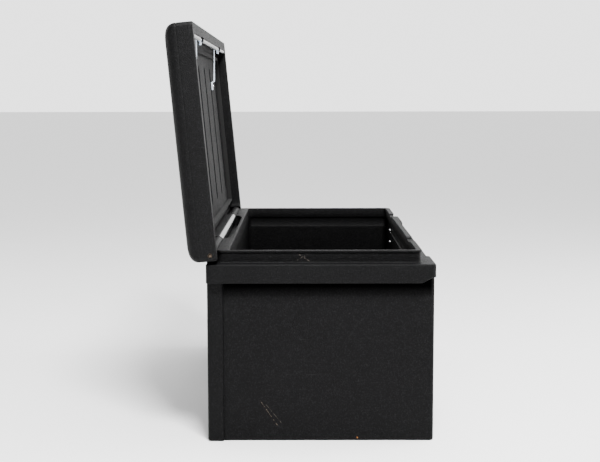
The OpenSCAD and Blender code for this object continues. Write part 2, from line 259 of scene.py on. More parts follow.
def tube_along(name, path, radius, material, body, sides=12):
    """A round wire: a circle carried along a path, square to it, with the ends closed."""
    path = np.asarray(path, float)
    run = np.gradient(path, axis=0)
    run /= np.linalg.norm(run, axis=1)[:, None]
    up = np.cross(run, [0.13, 0.31, 0.94])
    up /= np.linalg.norm(up, axis=1)[:, None]
    across = np.cross(run, up)
    turn = np.linspace(0, 2 * math.pi, sides, endpoint=False)
    cos, sin = np.cos(turn)[None, :, None], np.sin(turn)[None, :, None]
    grid = path[:, None] + radius * (cos * up[:, None] + sin * across[:, None])
    return skin(name, grid, material, body)


def dressed(node, name, slot, edge):
    """A welded copy of a CAD node with its edges broken by a small bevel. It stands for the node, rides on its
    body and wears the finish of its slot."""
    source = frame["nodes"][node]
    mesh = source.data.copy()
    mesh.name = name
    bm = bmesh.new()
    bm.from_mesh(mesh)
    bmesh.ops.remove_doubles(bm, verts=bm.verts, dist=0.01 * MM)
    bmesh.ops.dissolve_limit(bm, angle_limit=math.radians(1), verts=bm.verts, edges=bm.edges)
    bm.to_mesh(mesh)
    bm.free()
    mesh.materials.clear()
    mesh.materials.append(FINISH[slot])
    obj = bpy.data.objects.new(name, mesh)
    bpy.context.collection.objects.link(obj)
    mesh.shade_smooth()
    mesh.set_sharp_from_angle(angle=math.radians(CRISP_STEEL))
    bevel = obj.modifiers.new("broken edges", "BEVEL")
    bevel.width = edge * MM
    bevel.segments = 2
    bevel.limit_method = "ANGLE"
    bevel.angle_limit = math.radians(CRISP_STEEL)
    bevel.use_clamp_overlap = True
    bevel.harden_normals = True
    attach(obj, source["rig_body"])
    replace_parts(obj, node)


# ---------------------------------------------------------------- materials

class Finish:
    """Builds one procedural finish on Object coordinates around a Principled shader."""

    def __init__(self, name, color, rough, metal=0.0, specular=0.5):
        self.mat = bpy.data.materials.new(name)
        self.mat.use_nodes = True
        self.tree = self.mat.node_tree
        self.shader = self.tree.nodes["Principled BSDF"]
        self.shader.inputs["Base Color"].default_value = (*color, 1)
        self.shader.inputs["Roughness"].default_value = rough
        self.shader.inputs["Metallic"].default_value = metal
        self.shader.inputs["Specular IOR Level"].default_value = specular
        self.place = self.tree.nodes.new("ShaderNodeTexCoord").outputs["Object"]
        self.color = None
        self.base = color
        self.bump = None

    def node(self, kind, **values):
        """Adds a node. A value that is a socket is linked and any other is set. i0 and i1 are input numbers."""
        node = self.tree.nodes.new(kind)
        for key, value in values.items():
            if hasattr(node, key) and key not in node.inputs:
                setattr(node, key, value)
                continue
            by_number = key[0] == "i" and key[1:].isdigit()
            socket = node.inputs[int(key[1:]) if by_number else key.replace("_", " ")]
            if isinstance(value, bpy.types.NodeSocket):
                self.tree.links.new(value, socket)
            else:
                socket.default_value = value
        return node

    def math(self, operation, a, b=0.0, clamp=False):
        return self.node("ShaderNodeMath", operation=operation, use_clamp=clamp, i0=a, i1=b).outputs[0]

    def noise(self, scale, detail=2.0, rough=0.5, place=None):
        return self.node("ShaderNodeTexNoise", Vector=place or self.place, Scale=scale, Detail=detail,
                         Roughness=rough).outputs["Fac"]

    def voronoi(self, scale, smoothness):
        """Distance to the nearest cell, with the cells blended into each other."""
        return self.node("ShaderNodeTexVoronoi", feature="SMOOTH_F1", Vector=self.place, Scale=scale,
                         Smoothness=smoothness).outputs["Distance"]

    def stretched(self, scale):
        """Object coordinates scaled differently along X, Y and Z."""
        return self.node("ShaderNodeMapping", Vector=self.place, Scale=scale).outputs[0]

    def window(self, value, low, high):
        """Maps low..high to 0..1, held at both ends."""
        return self.node("ShaderNodeMapRange", Value=value, From_Min=low, From_Max=high).outputs[0]

    def tint(self, mask, color):
        """Mixes a colour over what is there, by mask."""
        under = self.color if self.color is not None else (*self.base, 1)
        mix = self.node("ShaderNodeMix", data_type="RGBA")
        self.tree.links.new(mask, mix.inputs[0])
        if isinstance(under, tuple):
            mix.inputs[6].default_value = under
        else:
            self.tree.links.new(under, mix.inputs[6])
        mix.inputs[7].default_value = (*color, 1)
        self.color = mix.outputs[2]
        return self

    def vary_rough(self, mask, low, high):
        out = self.node("ShaderNodeMapRange", Value=mask, To_Min=low, To_Max=high).outputs[0]
        self.tree.links.new(out, self.shader.inputs["Roughness"])
        return self

    def relief(self, height, strength, distance):
        """Adds a bump layer; distance is in millimetres."""
        bump = self.node("ShaderNodeBump", Strength=strength, Distance=distance * MM, Height=height)
        if self.bump is not None:
            self.tree.links.new(self.bump, bump.inputs["Normal"])
        self.bump = bump.outputs[0]
        return self

    def vector(self, operation, **values):
        return self.node("ShaderNodeVectorMath", operation=operation, **values).outputs

    def streak(self, start, end, width, color, amount=1.0, broken=220.0):
        """A thin rubbed line between two points in millimetres, broken up by noise: the distance from the segment
        is compared with its width."""
        a, b = np.array(start) * MM, np.array(end) * MM
        along = b - a
        length = float(np.linalg.norm(along))
        away = self.vector("SUBTRACT", i0=self.place, i1=tuple(a))[0]
        share = self.vector("DOT_PRODUCT", i0=away, i1=tuple(along / length ** 2))["Value"]
        share = self.math("MULTIPLY", share, 1.0, clamp=True)
        foot = self.vector("SCALE", i0=tuple(along), Scale=share)[0]
        gap = self.vector("DISTANCE", i0=away, i1=foot)["Value"]
        mask = self.window(gap, width * MM, width * MM * 0.3)
        mask = self.math("MULTIPLY", mask, self.window(self.noise(broken, 3), 0.42, 0.6))
        return self.tint(self.math("MULTIPLY", mask, amount), color)

    def band(self, value, low, high, soft_low, soft_high):
        """1 where value lies from low to high, and fading to 0 over the soft widths outside, in millimetres."""
        rise = self.window(value, (low - soft_low) * MM, low * MM)
        fall = self.window(value, (high + soft_high) * MM, high * MM)
        return self.math("MULTIPLY", rise, fall)

    def done(self):
        if self.color is not None:
            self.tree.links.new(self.color, self.shader.inputs["Base Color"])
        if self.bump is not None:
            self.tree.links.new(self.bump, self.shader.inputs["Normal"])
        return self.mat


def moulded(name, color, rough, grain=0.16, dust=0.3, specular=0.09):
    """Black moulded plastic: fine pebbles, slow tone changes, specks of dust and faint rub marks."""
    f = Finish(name, color, rough, specular=specular)
    f.tint(f.window(f.noise(7.0, 3), 0.35, 0.75), tuple(c * 1.5 for c in color))
    f.tint(f.window(f.noise(300.0, 3, 0.8), 0.5, 0.72), tuple(c * 7.5 for c in color))
    specks = f.window(f.noise(640.0, 1, 0.4), 0.76, 0.84)
    patch = f.window(f.noise(22.0, 2), 0.45, 0.7)
    f.tint(f.math("MULTIPLY", f.math("MULTIPLY", specks, patch), dust), (0.45, 0.42, 0.38))
    rubs = f.noise(1.0, 4, 0.6, place=f.stretched((60.0, 14.0, 260.0)))
    f.tint(f.math("MULTIPLY", f.window(rubs, 0.66, 0.78), dust * 0.12), (0.3, 0.3, 0.3))
    f.vary_rough(f.noise(30.0, 3), rough - 0.06, rough + 0.08)
    f.relief(f.noise(2.2, 2), 0.25, 1.2)
    f.relief(f.voronoi(620.0, 0.6), 1.0, grain * 4)
    f.relief(f.noise(340.0, 3, 0.75), 1.0, grain * 5)
    return f


def paint_lip_shadow_and_inside_shade(f, specular):
    """Painted shadow on each end wall under the handle lip, fading out below it, and painted shade over the inside
    of the chest at half strength. The mask mixes in a near-black tint and draws the specular level down."""
    place = f.node("ShaderNodeSeparateXYZ", Vector=f.place)
    end = f.band(f.math("ABSOLUTE", place.outputs[0]), BODY_X - 1, BAND_X - 4, 1, 2)
    level = f.band(place.outputs[2], HANDLE_LOW - 9, 394, 26, 3)
    shade = f.math("MULTIPLY", f.math("MULTIPLY", end, level), f.band(place.outputs[1], -246, POST_Y - 4, 8, 10))
    inside = f.math("MULTIPLY", f.band(f.math("ABSOLUTE", place.outputs[0]), 0, RIM_X + 1.5, 1, 1.5),
                    f.band(place.outputs[1], RIM_FRONT - 4, RIM_REAR + 2, 1.5, 1.5))
    inside = f.math("MULTIPLY", inside, f.band(place.outputs[2], FLOOR - 3, 396, 2, 8))
    mask = f.math("MAXIMUM", shade, f.math("MULTIPLY", inside, 0.5))
    # painted shade: a near-black tint and a lower specular level where the lip's shadow and the inside's shade fall
    f.tint(mask, (0.0002, 0.0002, 0.0002))
    painted_shade_specular = f.node("ShaderNodeMapRange", Value=mask, To_Min=specular, To_Max=0.004).outputs[0]
    f.tree.links.new(painted_shade_specular, f.shader.inputs["Specular IOR Level"])


def steel(name, color, rough, brushed=(1.0, 1.0, 1.0), wear=0.12, tarnish=None, metal=1.0):
    """Plated or drawn steel: fine brushing, blotches in the roughness and a little tarnish."""
    f = Finish(name, color, rough, metal=metal)
    if tarnish:
        f.tint(f.math("MULTIPLY", f.window(f.noise(90.0, 4), 0.5, 0.72), wear * 4, clamp=True), tarnish)
    f.vary_rough(f.noise(160.0, 3), max(0.04, rough - wear), rough + wear)
    f.relief(f.noise(1.0, 2, place=f.stretched(tuple(900.0 * b for b in brushed))), 0.12, 0.05)
    return f.done()


def make_finishes():
    """Every finish by its slot name."""
    black = (0.0012, 0.0012, 0.0013)
    tub = moulded("chest_moulding", black, 0.5, specular=0.075)
    tub.streak((-528, 136, 92), (-528, 98, 36), 0.9, (0.22, 0.17, 0.13), 0.45)
    tub.streak((-528, 124, 84), (-528, 88, 40), 0.6, (0.2, 0.17, 0.14), 0.35)
    tub.streak((-528, -83, 7), (-528, -84, 6), 1.6, (0.6, 0.22, 0.05), 0.9, broken=40)
    tub.streak((-521, 60, 432), (-521, 25, 409), 0.8, (0.35, 0.3, 0.26), 0.45)
    tub.streak((-521, 20, 430), (-521, 52, 411), 0.7, (0.35, 0.3, 0.26), 0.4)
    # painted shadow under the handle lips and painted shade over the inside of the chest
    paint_lip_shadow_and_inside_shade(tub, 0.075)
    lid = moulded("lid_moulding", black, 0.5)
    liner = moulded("inner_lid_moulding", (0.0018, 0.0018, 0.0019), 0.55, grain=0.1, dust=0.25, specular=0.04)
    rubbed = Finish("rubbed_moulding", (0.006, 0.006, 0.006), 0.16, specular=0.8)
    rubbed.vary_rough(rubbed.noise(1.0, 3, place=rubbed.stretched((8.0, 300.0, 300.0))), 0.1, 0.26)
    foam = Finish("seal_foam", (0.012, 0.012, 0.012), 0.95, specular=0.2)
    foam.relief(foam.noise(1400.0, 2), 0.6, 0.2)
    powder = Finish("black_powder_coat", (0.018, 0.018, 0.019), 0.38)
    powder.vary_rough(powder.noise(200.0, 3), 0.32, 0.46)
    powder.relief(powder.noise(1900.0, 2), 0.35, 0.06)
    return {
        "tub_poly": tub.done(), "lid_poly": lid.done(), "liner_poly": liner.done(), "seal_foam": foam.done(),
        "black_steel": powder.done(), "rubbed_poly": rubbed.done(),
        "rod_steel": steel("hinge_rod_steel", (0.5, 0.49, 0.47), 0.28, (0.02, 1, 1), tarnish=(0.3, 0.22, 0.15)),
        "cap_steel": steel("rod_cap_steel", (0.085, 0.065, 0.05), 0.5, tarnish=(0.05, 0.03, 0.02)),
        "zinc_steel": steel("zinc_plate", (0.62, 0.64, 0.66), 0.32, tarnish=(0.55, 0.52, 0.42), wear=0.1),
        "spring_steel": steel("spring_wire", (0.42, 0.42, 0.43), 0.3),
        "bright_bolt": steel("bright_bolts", (0.78, 0.78, 0.79), 0.16, wear=0.06),
        "lock_chrome": steel("lock_chrome", (0.8, 0.8, 0.82), 0.1, wear=0.04),
        "lock_brass": steel("lock_brass", (0.68, 0.5, 0.24), 0.26, tarnish=(0.4, 0.28, 0.12)),
        "striker_zinc": steel("blue_zinc_strap", (0.82, 0.9, 1.0), 0.45, (1, 0.05, 0.05), wear=0.1,
                              tarnish=(0.66, 0.72, 0.8), metal=0.6),
    }


FINISH = make_finishes()
for part in frame["record"]["subparts"]:
    shown = frame["nodes"][part["node"]].data.materials
    shown.clear()
    shown.append(FINISH[part["material_slot"]])


# ---------------------------------------------------------------- chest moulding

def chest_moulding():
    """One closed skin. Rounded rectangles run from the middle of the underside, out and up the wall, round the
    handle lip and band, over the shoulder and neck, and down the inside to the floor. Masks along each ring then
    step the surface: the posts, the pads, the finger recess of the handles, the latch wells, the hook slots, the
    notches and the deck recess."""
    latches = [-LATCH_X, LATCH_X]
    well = [x + d for x in latches for d in (-WELL_HALF, WELL_HALF)]
    slot = [x + d for x in latches for d in (SLOT_LEFT, SLOT_RIGHT)]
    notch = [x + d for x in latches for d in (-NOTCH_HALF, NOTCH_HALF)]
    front = stations(-BAND_X, BAND_X, 24, well + slot + notch + [-PAD_START, PAD_START], 0.8)
    rear = stations(-BAND_X, BAND_X, 30, [-DECK_HALF, DECK_HALF], 2.0)
    deck_end = DECK_HALF - DECK_TURN + DECK_TURN * np.sin(np.linspace(0, math.pi / 2, 12))
    rear = np.unique(np.concatenate([rear, -deck_end, deck_end]))
    side = stations(-BAND_REAR, BAND_REAR, 14, [POST_Y], 1.2)

    wall_rows = [8, 40, 90, 150, 210, 262, 299.7, 300.1, 330, 350, 364.6, 365.0]
    rings = []

    def add(x, f, r, rad, z, handle_x=None, handle_z=None):
        """One ring: half length, front, rear, corner radius, height, then half length and height at a handle."""
        rings.append((x, f, r, rad, z, x if handle_x is None else handle_x, z if handle_z is None else handle_z))

    for out, z in [(-140, 0), (-24, 0), *quarter((-4, 0), (0, 4), 4, True)]:
        add(BODY_X + out, FRONT - out, REAR + out, max(8 + out * 0.2, 3), z)
    for z in wall_rows:
        add(BODY_X, FRONT, REAR, 8, z)
    wall_last = len(rings)
    # underside of the band, and over a handle the finger recess that goes up, across, down the lip and out
    band = np.array([[0, -2.2], [0.3, -0.9], [1.2, -0.2], [3, 0], [6, 0], [9, 0], [12, 0], [15, 0], [17.5, 0],
                     [19.8, 0], [21.2, 0.5], [22, 1.8]])
    lip_in = BAND_X - LIP - BODY_X
    recess = np.array([[0, 386], [0.4, 391], [2.2, 393.6], [5, 394], [lip_in - 2.5, 394], [lip_in - 0.6, 393.2],
                       [lip_in, 390], [lip_in, HANDLE_LOW + 2], [lip_in + 0.6, HANDLE_LOW + 0.5],
                       [lip_in + 2, HANDLE_LOW], [21.2, HANDLE_LOW + 0.5], [22, HANDLE_LOW + 1.8]])
    for (out, dz), (ex, ez) in zip(band, recess):
        share = out / 22
        add(BODY_X + out, FRONT - 0.7 * share, REAR + share, 8 + 2 * share, BAND_LOW + dz, BODY_X + ex, ez)
    lower_rows = len(rings)
    for z in (380, 388, 396):
        add(BAND_X, FRONT - 0.7, BAND_REAR, 10, z)
    for out, z in quarter((0, SHOULDER - 3), (-3, SHOULDER), 4, False):
        add(BAND_X + out, FRONT - 0.7 - out, BAND_REAR + out, 10 + out * 0.3, z)
    shoulder_first = len(rings)
    span = (FRONT + 2.3, NECK_FRONT - 3)
    for y in (-250, SLOT_FRONT - 0.2, SLOT_FRONT + 0.2, -236, SLOT_BACK - 0.2, SLOT_BACK + 0.2):
        share = (y - span[0]) / (span[1] - span[0])
        add(BAND_X - 3 - (BAND_X - 3 - NECK_X - 3) * share, y, BAND_REAR - 3 - 19.5 * share, 10, SHOULDER)
    shoulder_last = len(rings)
    for out, z in quarter((3, SHOULDER), (0, SHOULDER + 3), 4, True):
        add(NECK_X + out, NECK_FRONT - out, NECK_REAR + out * 0.3, 12, z)
    neck_first = len(rings) - 4
    for out, z in [(0, 415), (0, 426.4), (-0.9, 427.0), (-0.9, 427.7), (0.4, 428.3), (2.2, 428.6), (2.9, 429.4),
                   (3, 431.6), (2.6, 432.7), (1.6, 433.3), (0.2, NECK_TOP), (-3, NECK_TOP), (-6.3, NECK_TOP)]:
        add(NECK_X + out, NECK_FRONT - out, NECK_REAR + min(out, 0) * 0.3, 13, z)
    for inset, z in quarter((1.8, NECK_TOP), (0, NECK_TOP - 1.8), 3, True):
        add(RIM_X + inset, RIM_FRONT - inset, RIM_REAR + inset, 10, z)
    inside_first = len(rings) - 4
    for dx, dy, z in [(0, 0, 420), (0, 0, 407.5), (0.8, 1, 406), (3, 3.5, 405), (4.5, 5, 402), (4.5, 5, 390),
                      (4.5, 5, 380), (3.5, 4, 377.6), (-2, 2.6, LEDGE), (-4.2, 2, LEDGE - 1.2),
                      (-4.5, 2, LEDGE - 4), (-4.5, 2, 300), (-4.5, 2, 200), (-4.5, 2, 100)]:
        add(RIM_X + dx, RIM_FRONT - dy, RIM_REAR, 14, z)
    for inset, z in quarter((0, FLOOR + 12), (-12, FLOOR), 5, False):
        add(RIM_X - 4.5 + inset, RIM_FRONT - 2 - inset, RIM_REAR + inset, 14, z)
    add(360, -80, 70, 14, FLOOR)

    plain = ring_stack([r[:5] for r in rings], front, rear, side)
    on_handle = ring_stack([(r[5], *r[1:4], r[6]) for r in rings], front, rear, side)
    x, y, z = plain[..., 0].copy(), plain[..., 1].copy(), plain[..., 2].copy()
    row = np.arange(len(rings))[:, None] + 0 * x
    end_side = np.abs(plain[lower_rows, :, 0])[None] > BAND_X - 0.01
    reach = plain[lower_rows, :, 1][None] + 0 * x

    # the handle: the lip hangs lower along each end and the recess opens behind it
    along = np.abs(plain[lower_rows, :, 0])[None] + 0 * x
    low_edge = BAND_LOW + (HANDLE_LOW - BAND_LOW) * smooth((along - 498) / 26) * smooth((reach + 252) / 30)
    open_part = between(reach, -226, 210, 7) * end_side
    wall = row < wall_last
    under = (row >= wall_last) & (row < lower_rows)
    z = np.where(under, z + low_edge - BAND_LOW, z)
    z = np.where(wall, np.minimum(z, low_edge - 2.4 + (386 - low_edge) * open_part), z)
    z = np.where(under, z + (on_handle[..., 2] - z) * open_part, z)
    x = np.where(under, x + (on_handle[..., 0] - x) * open_part, x)
    above = (row >= lower_rows) & (row < shoulder_first - 5)
    z = np.where(above, np.maximum(z, low_edge + 2.4), z)

    # rear corner posts stand out below the band, with a fine seam at their front edge
    post = between(reach, POST_Y, 400, 1.6) * (np.abs(x) > BODY_X - 30)
    low_wall = wall & (row > 0)
    x = np.where(low_wall, x + np.sign(x) * POST_OUT * post, x)
    seam = between(reach, POST_Y - 1.6, POST_Y + 0.2, 0.8) * end_side
    x = np.where((row >= lower_rows) & (row < shoulder_first), x - np.sign(x) * 0.5 * seam, x)

    # front pads, and the dropped shoulder between them
    in_front = y < NECK_FRONT + 0.5
    middle = 1 - smooth((np.abs(x) - PAD_START) / 7 + 0.5)
    band_rows = (row >= lower_rows - 6) & (row < shoulder_first)
    y = np.where(band_rows & (y < FRONT + 8), y - 0.8 * (1 - middle), y)
    drop = FINGER_DROP * middle * in_front
    z = np.where((row >= lower_rows + 1) & (row <= neck_first + 3), z - drop * smooth((z - 375) / 20), z)

    # latch wells in the front wall and the slots that the hooks rise through
    for spot in latches:
        well_here = between(x, spot - WELL_HALF, spot + WELL_HALF, 0.8) * between(z, WELL_LOW, WELL_HIGH, 0.3)
        y = y + (WELL_BACK - FRONT) * well_here * (y < FRONT + 1) * wall
        slot_here = between(x, spot + SLOT_LEFT, spot + SLOT_RIGHT, 0.8) * between(y, SLOT_FRONT, SLOT_BACK, 0.3)
        slot_here = slot_here * ((row >= shoulder_first) & (row < shoulder_last))
        z = z - (SHOULDER - FINGER_DROP - 383.5) * slot_here
        notched = between(x, spot - NOTCH_HALF, spot + NOTCH_HALF, 3.0) * (y < RIM_FRONT + 3)
        notched = notched * ((row > neck_first + 4) & (row < inside_first + 5))
        z = z + (np.minimum(z, NECK_TOP - NOTCH_DEEP) - z) * notched
        y = y + (np.maximum(y, NECK_FRONT) - y) * notched

    # the deck stands forward of the lid's long knuckle
    behind = (y > 225) & (np.abs(x) < 500) & (row >= shoulder_last) & (row < inside_first)
    end_turn = np.clip((np.abs(x) - DECK_HALF + DECK_TURN) / DECK_TURN, 0, 1)
    deck = np.sqrt(1 - end_turn ** 2) * between(x, -DECK_HALF, DECK_HALF, 2.0)
    y = np.where(behind, y - (NECK_REAR - DECK_REAR) * deck, y)
    return skin("tub_moulding", np.stack([x, y, z], -1), FINISH["tub_poly"], "chest")


def rounded_box(name, low, high, r, material, body):
    """A block with every edge rounded: rounded rectangles that shrink to the top and bottom by a quarter circle."""
    low, high = np.array(low, float), np.array(high, float)
    centre, half = (low + high) / 2, (high - low) / 2
    arc = quarter((-r, 0), (0, r), 3, True)
    levels = [*[(o, low[2] + dz) for o, dz in arc], *[(o, high[2] - dz) for o, dz in arc[::-1]]]
    marks = np.array([-half[0], half[0]])
    rings = ring_stack([(half[0] + o, -half[1] - o, half[1] + o, max(r + o, 0.2), z) for o, z in levels],
                       marks, marks, np.array([-half[1], half[1]]))
    return skin(name, rings + [centre[0], centre[1], 0], material, body)


def box_knuckle(sign):
    """A chest knuckle: a half-round hood about the hinge line on a block, carried along X with rounded ends."""
    r = KNUCKLE_R - 0.5
    turn = np.linspace(0, math.pi, 20)
    hood = np.column_stack([HINGE[1] + r * np.cos(turn), HINGE[2] + r * np.sin(turn)])
    outline = np.vstack([[[231, SHOULDER - 2], [REAR, SHOULDER - 2], [REAR, 418], [HINGE[1] + r - 1.2, 422]], hood,
                         [[231, 424], [231, 415]]])
    centre = np.array([HINGE[1], 418.0])
    ends = [(286, 0.955), (286.4, 0.982), (287.3, 1.0), (519.7, 1.0), (520.7, 0.982), (521, 0.955)]
    grid = np.array([np.column_stack([np.full(len(outline), sign * along), centre + (outline - centre) * size])
                     for along, size in ends])
    return skin(f"{SIDE[sign]}_box_knuckle", grid, FINISH["tub_poly"], "chest", flip=sign > 0)


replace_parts(chest_moulding(), "tub")
for sign in (-1, 1):
    box_knuckle(sign)
    rounded_box(f"{SIDE[sign]}_stop_pad", (sign * 200 - 20, 247.5, SHOULDER - 1), (sign * 200 + 20, 255.3, 410.6),
                1.2, FINISH["tub_poly"], "chest")


# ---------------------------------------------------------------- lid mouldings

def open_lid(grid):
    """Turns points from the closed lid's frame, where -Y is the front and the rod is the origin, to where the open
    lid stands."""
    a = math.radians(-(90 + LID_LEAN))
    x, y, z = grid[..., 0], grid[..., 1], grid[..., 2]
    cos, sin = math.cos(a), math.sin(a)
    return np.stack([x, HINGE[1] + y * cos - z * sin, HINGE[2] + y * sin + z * cos], -1)


def lid_moulding():
    """One closed skin in the lid's frame: from the middle of the top, over the round edge, down the wall, under
    the rim and up inside the hollow. Along the rear edge the rim becomes the knuckle barrel, or stops short over
    the chest's knuckles."""
    latches = [-LATCH_X, LATCH_X]
    notch = [x + d for x in latches for d in (-NOTCH_HALF, NOTCH_HALF)]
    front = stations(-LID_X, LID_X, 26, notch, 2.0)
    rear = stations(-LID_X, LID_X, 26, [-KNUCKLE_HALF, KNUCKLE_HALF, -CUT_END, CUT_END], 0.3)
    near_rod = np.arange(-7, 7.1, 1.0)
    side = np.sort(np.concatenate([np.linspace(-LID_FRONT, -9, 36), near_rod, [10.5, LID_REAR]]))
    turn = np.linspace(0, math.pi / 2, 9)
    edge_low = LID_TOP - LID_ROUND
    wall = [(-200, LID_TOP), (-60, LID_TOP - 0.1),
            *[(-LID_ROUND * (1 - math.sin(a)), edge_low + LID_ROUND * math.cos(a)) for a in turn],
            *[(o, edge_low - d) for o, d in ((-0.1, 1.0), (-0.6, 2.2), (-0.6, 2.8), (0, 4.0))],
            *[(0, t) for t in (19, 18, CUT_TOP + 0.1, CUT_TOP - 0.1, 13, 10, *near_rod[::-1])]]
    rings = [(LID_X + o, -LID_FRONT - o, LID_REAR + o, min(10 - o * 0.55, 40), t) for o, t in wall]
    wall_last = len(rings)
    rim = LID_X - LID_END_IN
    across = [(0, 2.2), (-0.6, 0.7), (-2, 0), (-4, 0), *[(-rim * s, 0) for s in (0.25, 0.38, 0.5, 0.62, 0.75)],
              (4 - rim, 0), (2.5 - rim, 0), (1 - rim, 0.5), (0.2 - rim, 1.8), (-rim, 4)]
    for o, up in across:
        share = -o / rim
        rings.append((LID_X + o, -LID_FRONT + (LID_FRONT - LID_FRONT_IN) * share,
                      LID_REAR - (LID_REAR + KNUCKLE_R) * share, 10 + 2 * share, LID_RIM + up))
    inner_first = len(rings)
    for t in (-4, 2, 5.8, 6.2, 12, LID_SKIN + 3):
        rings.append((LID_END_IN, -LID_FRONT_IN, -KNUCKLE_R, 12, t))
    rings.append((300, -300, -200, 12, LID_SKIN + 3.2))
    grid = ring_stack(rings, front, rear, side)
    x, y, t = grid[..., 0], grid[..., 1], grid[..., 2]
    row = np.arange(len(rings))[:, None] + 0 * x

    # knuckle barrel along the middle of the rear edge, cut-outs to either side of it
    rear_first = len(front) + len(side) + 2 * CORNER_POINTS
    at_rear = np.zeros(grid.shape[1], bool)
    at_rear[rear_first:rear_first + len(rear)] = True
    here = np.abs(x[wall_last - 1])[None] + 0 * x
    barrel = between(here, -KNUCKLE_HALF, KNUCKLE_HALF, 0.3) * at_rear
    cut = between(here, KNUCKLE_HALF, CUT_END, 0.3) * at_rear
    theta = np.linspace(0, math.pi, len(across))[:, None]
    under = (row >= wall_last) & (row < inner_first)
    by = np.zeros_like(x)
    bt = np.zeros_like(x)
    by[wall_last:inner_first] = KNUCKLE_R * np.cos(theta)
    bt[wall_last:inner_first] = -KNUCKLE_R * np.sin(theta)
    y = np.where(under, y + (by - y) * barrel, y)
    t = np.where(under, t + (bt - t) * barrel, t)
    low_wall = (row >= wall_last - len(near_rod)) & (row < wall_last)
    t = np.where(low_wall, t + (np.maximum(t, 0) - t) * barrel, t)
    inner = (row >= inner_first) & (row < len(rings) - 1)
    t = np.where(inner, t + (np.maximum(t, 0) - t) * barrel, t)
    t = np.where(row < len(rings) - 1, t + (np.maximum(t, CUT_TOP) - t) * cut, t)

    # notches in the inner face of the front rim
    for spot in latches:
        here_n = between(x, spot - NOTCH_HALF, spot + NOTCH_HALF, 2.0) * (np.abs(y + LID_FRONT_IN) < 3)
        y = y - NOTCH_DEEP * here_n * (row >= inner_first - 3) * (row < inner_first + 3)

    # counterbores for the rod's ends: points near the bore's edge are drawn onto it and those inside are sunk
    away = np.hypot(y, t)
    at_end = (np.abs(x) > LID_X - 0.01) & (row < wall_last)
    edge = at_end & (np.abs(away - BORE_R) < 0.75)
    pull = np.where(edge, BORE_R / np.maximum(away, 0.1), 1)
    y, t = y * pull, t * pull
    sunk = at_end & (away < BORE_R - 0.75)
    x = np.where(sunk, x - np.sign(x) * BORE_DEEP, x)
    grid = open_lid(np.stack([x, y, t], -1))
    return skin("lid_moulding", grid, FINISH["lid_poly"], "lid", flip=True)


def lid_inner_skin():
    """The lid's inner skin as a height over the lid's plane: flat, pressed away from the inside along six
    round-ended grooves, and curving down to the end and front rims."""
    half, far, near = LID_END_IN - 0.3, LID_FRONT_IN - 0.3, KNUCKLE_R + 0.3
    groove_marks = [g + s * d for g in GROOVES for s in (-1, 1) for d in range(11, GROOVE_HALF + 1)]
    border = np.array([0.0, 0.8, 2, 4, 6.5, 9.5, 12, 15])
    end_marks = np.arange(0, 18, 2.5)
    xs = np.unique(np.concatenate([np.linspace(-half, half, 90), groove_marks, -half + border, half - border]))
    ws = np.unique(np.concatenate([np.linspace(near, far, 56), near + border, far - border,
                                   GROOVE_NEAR + end_marks, GROOVE_FAR - end_marks]))
    x, w = np.meshgrid(xs, ws, indexing="ij")
    height = np.full_like(x, LID_SKIN)
    for g in GROOVES:
        reach = np.hypot(x - g, w - np.clip(w, GROOVE_NEAR + GROOVE_HALF, GROOVE_FAR - GROOVE_HALF))
        height = height + GROOVE_DEEP * smooth((GROOVE_HALF - reach) / 4)
    fillet = np.clip(12 - np.minimum(half - np.abs(x), far - w), 0, 12)
    height = height - 12 + np.sqrt(np.maximum(144 - fillet ** 2, 0))
    top = np.stack([x, -w, height], -1)
    under = np.stack([x, -w, np.full_like(x, LID_SKIN + 2.8) + np.maximum(height - LID_SKIN, 0)], -1)
    return sheet_slab("lid_inner_skin", open_lid(top), open_lid(under), FINISH["liner_poly"], "lid")


def rubbed_knuckle():
    """The part of the knuckle barrel that rubs bright: a thin closed shell over a turn of the barrel."""
    xs = np.linspace(1 - KNUCKLE_HALF, KNUCKLE_HALF - 1, 30)
    turn = np.radians(np.linspace(-4, 168, 40))
    x, a = np.meshgrid(xs, turn, indexing="ij")
    top, under = [open_lid(np.stack([x, r * np.cos(a), -r * np.sin(a)], -1))
                  for r in (KNUCKLE_R + 0.06, KNUCKLE_R - 0.5)]
    sheet_slab("rubbed_knuckle", top, under, FINISH["rubbed_poly"], "lid", flip=True)


def rim_beads():
    """The rounded bead along the inner edge of the front rim, in three lengths that stop short of the notches."""
    notch = NOTCH_HALF + 3
    end_x = LID_END_IN - 4
    for name, start, end in (("left", -end_x, -LATCH_X - notch), ("middle", notch - LATCH_X, LATCH_X - notch),
                             ("right", LATCH_X + notch, end_x)):
        xs = np.concatenate([[start, start + 0.6], np.linspace(start + 2, end - 2, 24), [end - 0.6, end]])
        line = np.broadcast_to([0, 2.5 - LID_FRONT_IN, LID_RIM + 6.5], (len(xs), 3)) + np.outer(xs, [1, 0, 0])
        tube_along(f"{name}_rim_bead", open_lid(line), 5.5, FINISH["rubbed_poly"], "lid", sides=24)


rubbed_knuckle()
rim_beads()
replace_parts(lid_moulding(), "lid_shell")
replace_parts(lid_inner_skin(), "lid_liner")


# ---------------------------------------------------------------- hinge rod and caps

def rod_cap(sign):
    """A push-on cap: a flat washer rim with a domed middle."""
    profile = [(0, 4.9), (0.2, 5.5), (1.3, 5.5), (1.7, 5.2), (1.7, 4.3), (2.2, 3.9), (2.7, 2.8), (3, 1.2)]
    return lathe(f"{SIDE[sign]}_rod_cap", profile, (sign * ROD_HALF, HINGE[1], HINGE[2]), (sign, 0, 0),
                 FINISH["cap_steel"], "chest")


